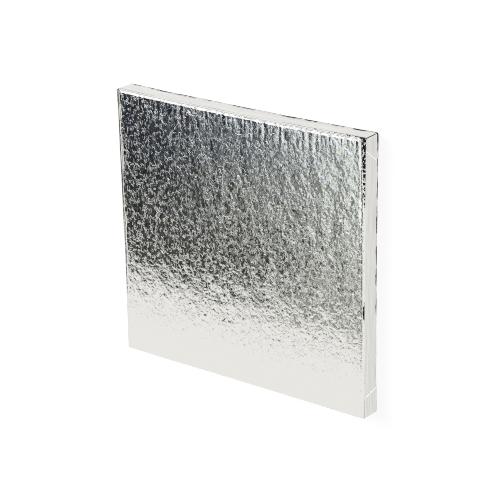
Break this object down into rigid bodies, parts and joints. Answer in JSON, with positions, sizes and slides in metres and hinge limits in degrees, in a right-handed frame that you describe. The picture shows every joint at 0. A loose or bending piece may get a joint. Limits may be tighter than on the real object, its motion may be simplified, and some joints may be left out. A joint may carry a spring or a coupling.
{
  "type": "vacuum insulation panel",
  "caption": "Flat rectangular insulation panel: a pressed core vacuum-sealed in crinkled metallised film, its welded flange folded flat over the edges.",
  "frame": {"origin": "middle of the footprint, on the ground, at the outer face of the back film", "axes": "+Z out of the front face, +Y to the face's top edge, +X along the long side to the right edge"},
  "size_m": [0.32, 0.3, 0.025],
  "materials": {
    "barrier_film": "glossy metallised film, finely crinkled",
    "silica_board": "matt pressed powder"
  },
  "bodies": {
    "root": {"core_board": "silica_board", "front_film": "barrier_film", "back_film": "barrier_film"}
  },
  "joints": []
}
